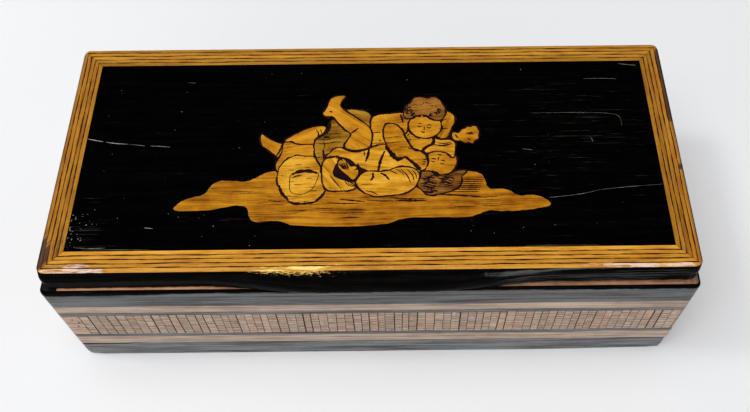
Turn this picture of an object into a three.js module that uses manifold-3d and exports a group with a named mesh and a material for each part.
// A long marquetry trinket box: a thin-walled wooden carcass faced with veneer
// bands on all four sides, and a lift-off lid board that carries a black panel,
// a striped border and an inlaid picture of two children tumbling on the ground.
//
// Millimetres, +Z up. X runs along the length, -Y is the front (the side with
// the curved finger lip). The origin is at the middle of the footprint, on the
// underside.
import * as THREE from "three";
import { mergeVertices } from "three/addons/utils/BufferGeometryUtils.js";
import Module from "manifold-3d";

const wasm = await Module();
wasm.setup();

// ---------------------------------------------------------------- main sizes
const LENGTH = 256.4; // over the end walls, a little over ten inches
const FRONT = -56.75; // front face of the body
const BACK = 58.25; // back face of the body and of the lid
const RIM_Z = 62.9; // top of the walls
const TOP_Z = 72.6; // top of the lid
const BOTTOM_T = 5; // bottom board
const CARCASS_T = 5.8; // wall board
const FACING_T = 1.2; // veneer outside the wall boards
const CORNER_R = 2.4; // rounding of the body's upright corners
const JOINT = 0.05; // open joint between neighbouring veneers

// heights of the veneer bands on the walls, from the table up
const BANDS = [
  ["base_band", 0, 12.8, "black"],
  ["lower_stripe", 12.8, 20.0, "light"],
  ["lower_line", 20.0, 22.7, "black"],
  ["parquetry", 22.7, 41.4, "tan"],
  ["upper_line", 41.4, 43.9, "black"],
  ["upper_stripe", 43.9, 49.8, "light"],
  ["top_band", 49.8, RIM_Z, "black"],
];

// lid
const VENEER_T = 1.0; // marquetry sheet on the lid
const BOARD_TOP = TOP_Z - VENEER_T;
const BORDER_W = 9.1; // striped border
const BORDER_X = LENGTH / 2 - 1.55; // its outer edge at the ends
const BORDER_FRONT = -52.75;
const BORDER_BACK = 57.35;
const LID_R_FRONT = 3.2; // plan rounding of the lid's corners
const LID_R_BACK = 3.2;
const EDGE_SIDE = 0.3; // how far the board stands out past the border
const EDGE_BACK = 0.85;
const EDGE_FRONT = 1.75; // at the ends of the front edge
const EDGE_SKEW = 0.55; // the front edge runs slightly out of true
const LIP_REACH = 3.64; // extra reach of the finger lip
const LIP_MIDDLE = 3; // x of the lip's middle
const LIP_FLAT = 18; // half length of its straight part
const LIP_RUN = 52; // length of each ogee run back to the ends
const BEVEL_DROP = 3.0; // height of the bevel over the front edge, at the ends
const BEVEL_DROP_LIP = 3.6; // and how much higher it is at the lip
const LOCATOR_T = 3.5; // raised panel under the lid, which drops inside the walls
const LOCATOR_GAP = 0.9;

// picture
const KERF = 0.5; // dark line between inlaid pieces

// ------------------------------------------------------------------ materials
const wood = (name, color, roughness) =>
  new THREE.MeshStandardMaterial({ name, color, roughness, metalness: 0 });
const MAT = {
  black: () => wood("ebonised", 0x17130f, 0.28),
  light: () => wood("pale_stripe", 0xc9a988, 0.4),
  tan: () => wood("parquetry_tan", 0xa98a6c, 0.42),
  gold: () => wood("golden_stripe", 0xd8912b, 0.32),
  carcass: () => wood("carcass_wood", 0x7d5130, 0.7),
  flesh: () => wood("figure_wood", 0xdb9a3c, 0.32),
  pale: () => wood("hat_wood", 0xe9b658, 0.32),
  olive: () => wood("olive_wood", 0x7f6420, 0.36),
  earth: () => wood("ground_wood", 0xb1722a, 0.34),
  hair: () => wood("hair_wood", 0xa5672a, 0.36),
};

// -------------------------------------------------------------- shape helpers
// A closed solid from a three.js geometry.
function solid(geometry) {
  const g = geometry.clone();
  g.deleteAttribute("normal");
  g.deleteAttribute("uv");
  const m = mergeVertices(g, 1e-4);
  return new wasm.Manifold(
    new wasm.Mesh({
      numProp: 3,
      vertProperties: new Float32Array(m.attributes.position.array),
      triVerts: new Uint32Array(m.index.array),
    }),
  );
}

function geometryOf(manifold) {
  const m = manifold.getMesh();
  const g = new THREE.BufferGeometry();
  g.setAttribute("position", new THREE.BufferAttribute(m.vertProperties, 3));
  g.setIndex(new THREE.BufferAttribute(m.triVerts, 1));
  const flat = g.toNonIndexed();
  flat.computeVertexNormals();
  return flat;
}

// An upright prism over a closed plan outline of [x, y] pairs.
function prism(outline, low, high) {
  const shape = new THREE.Shape(outline.map(([x, y]) => new THREE.Vector2(x, y)));
  const g = new THREE.ExtrudeGeometry(shape, {
    depth: high - low,
    bevelEnabled: false,
  });
  g.translate(0, 0, low);
  return g;
}

const area = (p) =>
  p.reduce((s, [x, y], i) => {
    const [u, v] = p[(i + 1) % p.length];
    return s + x * v - u * y;
  }, 0) / 2;

// The outline moved outwards by d along its own normals.
function grown(outline, d) {
  const turn = area(outline) > 0 ? 1 : -1;
  const n = outline.length;
  return outline.map(([x, y], i) => {
    const [ax, ay] = outline[(i + n - 1) % n];
    const [bx, by] = outline[(i + 1) % n];
    const tx = bx - ax;
    const ty = by - ay;
    const l = Math.hypot(tx, ty) || 1;
    return [x + (turn * d * ty) / l, y - (turn * d * tx) / l];
  });
}

// A smooth closed outline through a few control points.
function loop(control, step = 1.6) {
  const curve = new THREE.CatmullRomCurve3(
    control.map(([x, y]) => new THREE.Vector3(x, y, 0)),
    true,
    "centripetal",
  );
  const n = Math.max(12, Math.round(curve.getLength() / step));
  return curve
    .getSpacedPoints(n)
    .slice(0, n)
    .map((p) => [p.x, p.y]);
}

// A limb: round-ended strip along a spine of [x, y, half width].
function limb(spine, steps = 5) {
  const path = new THREE.CatmullRomCurve3(
    spine.map(([x, y, r]) => new THREE.Vector3(x, y, r)),
    false,
    "centripetal",
  );
  const n = (spine.length - 1) * steps;
  const left = [];
  const right = [];
  for (let i = 0; i <= n; i++) {
    const p = path.getPoint(i / n);
    const a = path.getPoint(Math.max(0, i - 0.5) / n);
    const b = path.getPoint(Math.min(n, i + 0.5) / n);
    const l = Math.hypot(b.x - a.x, b.y - a.y);
    const nx = -(b.y - a.y) / l;
    const ny = (b.x - a.x) / l;
    left.push([p.x + nx * p.z, p.y + ny * p.z]);
    right.push([p.x - nx * p.z, p.y - ny * p.z]);
  }
  const cap = (from, to, cx, cy) => {
    const r = Math.hypot(from[0] - cx, from[1] - cy);
    const a0 = Math.atan2(from[1] - cy, from[0] - cx);
    let a1 = Math.atan2(to[1] - cy, to[0] - cx);
    if (a1 > a0) a1 -= 2 * Math.PI;
    const out = [];
    for (let k = 1; k < 5; k++) {
      const a = a0 + ((a1 - a0) * k) / 5;
      out.push([cx + r * Math.cos(a), cy + r * Math.sin(a)]);
    }
    return out;
  };
  const end = spine[spine.length - 1];
  return [
    ...left,
    ...cap(left[n], right[n], end[0], end[1]),
    ...right.reverse(),
    ...cap(right[n], left[0], spine[0][0], spine[0][1]),
  ];
}

// An oval, optionally tilted, with a scalloped edge for curls.
function oval(cx, cy, rx, ry, tilt = 0, curls = 0, depth = 0, n = 40) {
  const c = Math.cos((tilt * Math.PI) / 180);
  const s = Math.sin((tilt * Math.PI) / 180);
  const out = [];
  for (let i = 0; i < n; i++) {
    const a = (2 * Math.PI * i) / n;
    const k = 1 + depth * (Math.abs(Math.cos((curls * a) / 2)) - 0.6);
    const x = rx * k * Math.cos(a);
    const y = ry * k * Math.sin(a);
    out.push([cx + x * c - y * s, cy + x * s + y * c]);
  }
  return out;
}

// Points of a rounded rectangle, anticlockwise from the right end of the front
// edge. The front edge is cut into steps of about the given run.
function roundedRect(x0, y0, x1, y1, radii, arc, run) {
  const corners = [
    [x1, y0, -90, radii[0]],
    [x1, y1, 0, radii[1]],
    [x0, y1, 90, radii[2]],
    [x0, y0, 180, radii[3]],
  ];
  const out = [];
  corners.forEach(([x, y, a0, r]) => {
    const cx = x - Math.sign(x) * r;
    const cy = y + (a0 === -90 || a0 === 180 ? r : -r);
    for (let k = 0; k <= arc; k++) {
      const a = ((a0 + (90 * k) / arc) * Math.PI) / 180;
      out.push([cx + r * Math.cos(a), cy + r * Math.sin(a)]);
    }
  });
  const cut = [];
  out.forEach((p, i) => {
    const q = out[(i + 1) % out.length];
    const l = Math.hypot(q[0] - p[0], q[1] - p[1]);
    const front = Math.abs(p[1] - y0) < 1e-6 && Math.abs(q[1] - y0) < 1e-6;
    const parts = front ? Math.max(1, Math.round(l / run)) : 1;
    for (let k = 0; k < parts; k++)
      cut.push([p[0] + ((q[0] - p[0]) * k) / parts, p[1] + ((q[1] - p[1]) * k) / parts]);
  });
  return cut;
}

const box = new THREE.Group();
function add(group, name, geometry, material) {
  const mesh = new THREE.Mesh(geometry, material);
  mesh.name = name;
  group.add(mesh);
  return mesh;
}

// ------------------------------------------------------------------- carcass
const X = LENGTH / 2;
const carcass = new THREE.Group();
box.add(carcass);
const CX = X - FACING_T; // outside of the wall boards
const CF = FRONT + FACING_T;
const CB = BACK - FACING_T;
const CR = CORNER_R - FACING_T;
const IX = CX - CARCASS_T; // inside of the box
const IF = CF + CARCASS_T;
const IB = CB - CARCASS_T;

// The end walls run the full depth; the front and back walls butt between them.
function endWall(side) {
  const arc = (cx, cy, a0) => {
    const out = [];
    for (let k = 0; k <= 6; k++) {
      const a = ((a0 + 15 * k) * Math.PI) / 180;
      out.push([cx + CR * Math.cos(a), cy + CR * Math.sin(a)]);
    }
    return out;
  };
  const outline = [
    [IX, CF],
    ...arc(CX - CR, CF + CR, -90),
    ...arc(CX - CR, CB - CR, 0),
    [IX, CB],
  ];
  const placed = side > 0 ? outline : outline.map(([x, y]) => [-x, y]).reverse();
  return prism(placed, 0, RIM_Z);
}
add(carcass, "right_wall", endWall(1), MAT.carcass());
add(carcass, "left_wall", endWall(-1), MAT.carcass());
const longWall = (y0, y1) => {
  const g = new THREE.BoxGeometry(2 * (IX - JOINT), y1 - y0, RIM_Z);
  g.translate(0, (y0 + y1) / 2, RIM_Z / 2);
  return g;
};
add(carcass, "front_wall", longWall(CF, IF), MAT.carcass());
add(carcass, "back_wall", longWall(IB, CB), MAT.carcass());
const bottom = new THREE.BoxGeometry(
  2 * (IX - JOINT),
  IB - IF - 2 * JOINT,
  BOTTOM_T,
);
bottom.translate(0, (IF + IB) / 2, BOTTOM_T / 2);
add(carcass, "bottom_board", bottom, MAT.carcass());

// ------------------------------------------------------- veneer bands, 4 sides
// One band on one side: a strip that follows half of each rounded corner and is
// mitred to its neighbours there.
function strip(side, low, high) {
  const arcs = {
    front: [[-1, -1, -135], [1, -1, -90]],
    right: [[1, -1, -45], [1, 1, 0]],
    back: [[1, 1, 45], [-1, 1, 90]],
    left: [[-1, 1, 135], [-1, -1, 180]],
  }[side];
  const path = (r, slack) =>
    arcs.flatMap(([sx, sy, a0]) => {
      const cx = sx * (X - CORNER_R);
      const cy = sy < 0 ? FRONT + CORNER_R : BACK - CORNER_R;
      const out = [];
      for (let k = 0; k <= 3; k++) {
        let a = a0 + 15 * k;
        const mitre = (a + 720) % 90 === 45;
        if (mitre) a += (k === 0 ? 1 : -1) * slack;
        a = (a * Math.PI) / 180;
        out.push([cx + r * Math.cos(a), cy + r * Math.sin(a)]);
      }
      return out;
    });
  const slack = 0.8; // degrees either side of each mitre
  return prism(
    [...path(CORNER_R, slack), ...path(CORNER_R - FACING_T + JOINT, slack).reverse()],
    low,
    high,
  );
}
const facings = new THREE.Group();
box.add(facings);
for (const [band, low, high, tone] of BANDS)
  for (const side of ["front", "right", "back", "left"])
    add(facings, `${band}_${side}`, strip(side, low, high), MAT[tone]());

// ------------------------------------------------------------------ lid board
const lid = new THREE.Group();
box.add(lid);

// How far the lip swells at a given x: 0 at the ends, 1 in the middle.
const swell = (x) => {
  const u = (Math.abs(x - LIP_MIDDLE) - LIP_FLAT) / LIP_RUN;
  return 0.5 * (1 + Math.cos(Math.PI * Math.min(1, Math.max(0, u))));
};
const borderRect = (inset, radii, run) =>
  roundedRect(
    -BORDER_X + inset,
    BORDER_FRONT + inset,
    BORDER_X - inset,
    BORDER_BACK - inset,
    radii,
    5,
    run,
  );
const BORDER_RADII = [LID_R_FRONT, LID_R_BACK, LID_R_BACK, LID_R_FRONT];

function lidBoard() {
  const top = borderRect(-JOINT, BORDER_RADII, 4.5);
  const n = top.length;
  const out = top.map(([x, y], i) => {
    const [ax, ay] = top[(i + n - 1) % n];
    const [bx, by] = top[(i + 1) % n];
    const l = Math.hypot(bx - ax, by - ay);
    const nx = (by - ay) / l;
    const ny = -(bx - ax) / l;
    const s = y < 0 ? swell(x) : 0;
    const front = EDGE_FRONT - (EDGE_SKEW * x) / X + LIP_REACH * s;
    const yReach = ny < 0 ? front : EDGE_BACK;
    return {
      x,
      y,
      dx: nx * EDGE_SIDE,
      dy: ny * yReach,
      nx,
      ny,
      drop: 1.2 + Math.max(0, -ny) * (BEVEL_DROP - 1.2 + BEVEL_DROP_LIP * s),
    };
  });
  const ring = (reach, inset, z) =>
    out.map((p) => [
      p.x + p.dx * reach - p.nx * inset,
      p.y + p.dy * reach - p.ny * inset,
      typeof z === "number" ? z : z(p),
    ]);
  const rings = [
    ring(1, 0.9, RIM_Z),
    ring(1, 0.28, RIM_Z + 0.3),
    ring(1, 0, RIM_Z + 1.0),
    ring(1, 0, (p) => BOARD_TOP - p.drop),
    ring(0.9, 0, (p) => BOARD_TOP - p.drop * 0.66),
    ring(0.58, 0, (p) => BOARD_TOP - p.drop * 0.27),
    ring(0, 0, BOARD_TOP),
  ];
  const vertices = rings.flat(2);
  const index = [];
  for (let r = 0; r + 1 < rings.length; r++)
    for (let i = 0; i < n; i++) {
      const a = r * n + i;
      const b = r * n + ((i + 1) % n);
      index.push(a, b, b + n, a, b + n, a + n);
    }
  const face = (r, up) => {
    const flat = rings[r].map(([x, y]) => new THREE.Vector2(x, y));
    for (const [a, b, c] of THREE.ShapeUtils.triangulateShape(flat, []))
      index.push(r * n + a, r * n + (up ? b : c), r * n + (up ? c : b));
  };
  face(0, false);
  face(rings.length - 1, true);
  const g = new THREE.BufferGeometry();
  g.setAttribute("position", new THREE.Float32BufferAttribute(vertices, 3));
  g.setIndex(index);
  const locator = new THREE.BoxGeometry(
    2 * (IX - LOCATOR_GAP),
    IB - IF - 2 * LOCATOR_GAP,
    LOCATOR_T + 2,
  );
  locator.translate(0, (IF + IB) / 2, RIM_Z - LOCATOR_T / 2 + 1);
  return geometryOf(solid(g).add(solid(locator)));
}
add(lid, "lid_board", lidBoard(), MAT.black());

// --------------------------------------------------------------- lid border
// Four lengths of laminated striped banding, mitred at the corners.
const outer = borderRect(0, BORDER_RADII, LENGTH);
const INNER_X = BORDER_X - BORDER_W;
const INNER_F = BORDER_FRONT + BORDER_W;
const INNER_B = BORDER_BACK - BORDER_W;
function borderSide(side) {
  const frame = solid(prism(outer, BOARD_TOP, TOP_Z)).subtract(
    solid(
      prism(
        [
          [-INNER_X, INNER_F],
          [INNER_X, INNER_F],
          [INNER_X, INNER_B],
          [-INNER_X, INNER_B],
        ],
        BOARD_TOP - 1,
        TOP_Z + 1,
      ),
    ),
  );
  // the trapezium between two mitres, run on past the outer edge
  const far = 12;
  const g = JOINT;
  const wedges = {
    front: [
      [-INNER_X + g, INNER_F],
      [-INNER_X - BORDER_W - far + g, INNER_F - BORDER_W - far],
      [INNER_X + BORDER_W + far - g, INNER_F - BORDER_W - far],
      [INNER_X - g, INNER_F],
    ],
    back: [
      [INNER_X - g, INNER_B],
      [INNER_X + BORDER_W + far - g, INNER_B + BORDER_W + far],
      [-INNER_X - BORDER_W - far + g, INNER_B + BORDER_W + far],
      [-INNER_X + g, INNER_B],
    ],
    right: [
      [INNER_X, INNER_F + g],
      [INNER_X + BORDER_W + far, INNER_F - BORDER_W - far + g],
      [INNER_X + BORDER_W + far, INNER_B + BORDER_W + far - g],
      [INNER_X, INNER_B - g],
    ],
    left: [
      [-INNER_X, INNER_B - g],
      [-INNER_X - BORDER_W - far, INNER_B + BORDER_W + far - g],
      [-INNER_X - BORDER_W - far, INNER_F - BORDER_W - far + g],
      [-INNER_X, INNER_F + g],
    ],
  };
  return geometryOf(
    frame.intersect(solid(prism(wedges[side], BOARD_TOP - 1, TOP_Z + 1))),
  );
}
for (const side of ["front", "right", "back", "left"])
  add(lid, `border_${side}`, borderSide(side), MAT.gold());

// ------------------------------------------------------------ inlaid picture
// Each piece is listed from the topmost down: where two outlines cross, the
// lower one is cut back by one kerf, as with veneers sawn together.
const PICTURE = [
  ["older_child_arm", "flesh", limb([[7.6, 12.2, 2.4], [9.2, 6.5, 3.9], [12.6, 1.6, 3.3], [17.5, -0.6, 2.6], [21.2, -3.6, 2.5]])],
  ["older_child_face", "flesh", oval(22.6, 14.6, 6.7, 6.5, -8)],
  ["older_child_hair", "hair", oval(22.3, 21.8, 8.6, 7.2, -3, 9, 0.16, 54)],
  ["older_child_far_arm", "flesh", limb([[31.2, 20.4, 2.6], [32.3, 14.6, 2.9], [29.4, 9.7, 2.7]])],
  ["older_child_fist", "flesh", limb([[35.6, 8.2, 2.4], [39.2, 8.8, 3.0], [42.2, 9.6, 3.7]])],
  ["older_child_leg", "flesh", [
    limb([[-12.4, 29.9, 0.8], [-14.6, 27.4, 2.2], [-16.0, 23.4, 2.9], [-18.2, 20.8, 1.9]], 4),
    limb([[-15.4, 20.6, 2.6], [-10.6, 15.8, 3.0], [-5.4, 10.6, 4.6], [-4.2, 7.4, 4.5]], 4),
  ]],
  ["older_child_shirt", "flesh", loop([[1.4, 19.2], [6, 20.6], [12.5, 20.6], [15.5, 17], [20, 9.5], [26.4, 9], [27.4, 6], [22.5, 4.8], [18.5, 2.4], [14, 1.4], [9, 1], [5, 3.4], [0.6, 3.2], [0.6, 12]])],
  ["sash", "olive", loop([[-11.2, 22.4], [-7.5, 23.2], [-3, 21.8], [-0.2, 19.5], [0.4, 16], [0.2, 12.6], [-4, 15.6]])],
  ["younger_child_hand", "flesh", limb([[-12.2, -5.4, 1.7], [-9.6, -7.6, 2.8], [-6.4, -10.4, 2.4]])],
  ["younger_child_near_sleeve", "pale", loop([[-5.8, -13], [-3, -9.2], [1, -8.6], [6, -8.2], [11, -6.4], [16.4, -7.4], [19, -11], [18, -14.8], [14, -18], [8, -19.8], [1.5, -20], [-2.5, -17.6]])],
  ["younger_child_far_sleeve", "flesh", limb([[-12.6, -3.2, 2.0], [-16.4, -6.4, 2.6], [-16.8, -12.0, 3.0], [-13.0, -15.6, 2.6], [-8.2, -15.6, 1.9]])],
  ["younger_child_waistcoat", "pale", loop([[-14, 1.2], [-10.5, 3], [-6, 0.6], [-1, 1.8], [4, 4], [8, 2.6], [12, -0.6], [17, -1.6], [20, -7], [17.5, -10.5], [8, -11.5], [-2, -9.5], [-7.5, -5.5], [-10.5, -3], [-14.4, -1.4]])],
  ["breeches", "olive", loop([[-15.5, 17.6], [-11.5, 12.4], [-8.4, 10.4], [-9.4, 5.6], [-13.4, 2.6], [-17.4, -1.6], [-19.4, -6.2], [-21.8, -2.4], [-22.6, 4.4], [-21, 9], [-18.2, 12.4]])],
  ["straw_hat", "pale", oval(-28.1, -11.7, 9.6, 11.2, 8, 8, 0.05, 44)],
  ["younger_child_near_leg", "flesh", limb([[-24.8, 1.4, 2.4], [-31.0, 2.2, 2.9], [-35.6, -0.6, 2.8], [-37.2, -5.4, 2.0]])],
  ["younger_child_far_leg", "flesh", loop([[-35, 6.4], [-31.5, 10], [-27.5, 11.6], [-24, 14], [-19, 14.2], [-20.5, 9.6], [-22.8, 5.2], [-29, 4.8]])],
  ["younger_child_foot", "flesh", limb([[-44.8, 9.6, 0.9], [-42.6, 5.2, 2.7], [-38.4, 2.8, 3.1], [-36.6, 2.2, 3.0]])],
  ["younger_child_hair", "hair", loop([[18.4, -9.4], [22, -8], [27, -9.2], [32, -9.8], [37.4, -8.8], [36.4, -13.2], [33.6, -16.8], [29, -19], [23.6, -19.2], [19.4, -15.6]])],
  ["younger_child_face", "flesh", loop([[21, -5.6], [21.4, -0.8], [23.6, 3.6], [29.4, 5.2], [34.6, 5.8], [35.2, -1], [34.6, -7], [32, -10.4], [26, -11.4], [21.6, -9.6]])],
  ["ground", "earth", loop([
    [-77.6, -25.2], [-74, -21.2], [-66, -18.2], [-63, -13.6], [-59.5, -12.2], [-49, -12.4], [-43, -9], [-38, -7.8],
    [-30, -11], [-20, -12], [-15, -13], [-6, -13.6], [8, -15], [20, -14], [33, -13], [38.8, -8.9], [41, -8.8], [45.4, -10.8], [47.4, -16.8], [54.5, -17.6], [59, -20.4], [66.5, -20.6], [71.6, -24.6],
    [63, -27], [53, -27.6], [46.5, -27.4], [40, -29.8], [14, -30.4], [5.4, -33], [-30, -33], [-36, -31], [-46, -31], [-49, -24.6], [-52.5, -23.8], [-64, -25.8],
  ], 2.2)],
];
// The sheet has no slivers of panel between the figures: this area is cut out
// whole, and the black board shows in what the figures leave open.
const BETWEEN = loop([
  [-31, -5], [-28, 3], [-27, 5.4], [-17, 11.5], [-4.6, 11], [-1.6, 14.4], [4, 12.6], [9, 14], [14.6, 18.9], [22, 17],
  [29.6, 17.5], [28.6, 10], [30.8, 8.6], [31, 2], [26, -14], [18, -18], [4, -16], [-12, -17], [-25, -10],
]);
const picture = new THREE.Group();
lid.add(picture);
// One piece has one outline, or several that are joined.
const parts = (shape) => (Array.isArray(shape[0][0]) ? shape : [shape]);
const joined = (shape, d, low, high) =>
  parts(shape)
    .map((outline) => solid(prism(d ? grown(outline, d) : outline, low, high)))
    .reduce((a, b) => a.add(b));
const cutter = (shape, d) => joined(shape, d, BOARD_TOP - 1, TOP_Z + 1);
PICTURE.forEach(([name, tone, shape], i) => {
  let piece = joined(shape, 0, BOARD_TOP, TOP_Z);
  for (let j = 0; j < i; j++) piece = piece.subtract(cutter(PICTURE[j][2], KERF));
  add(picture, name, geometryOf(piece), MAT[tone]());
});

// ------------------------------------------------------------- black panel
let panel = solid(
  prism(
    [
      [-INNER_X + 0.1, INNER_F + 0.1],
      [INNER_X - 0.1, INNER_F + 0.1],
      [INNER_X - 0.1, INNER_B - 0.1],
      [-INNER_X + 0.1, INNER_B - 0.1],
    ],
    BOARD_TOP,
    TOP_Z,
  ),
);
for (const [, , shape] of PICTURE) panel = panel.subtract(cutter(shape, 0.12));
panel = panel.subtract(cutter(BETWEEN, 0));
add(lid, "black_panel", geometryOf(panel), MAT.black());

export default box;
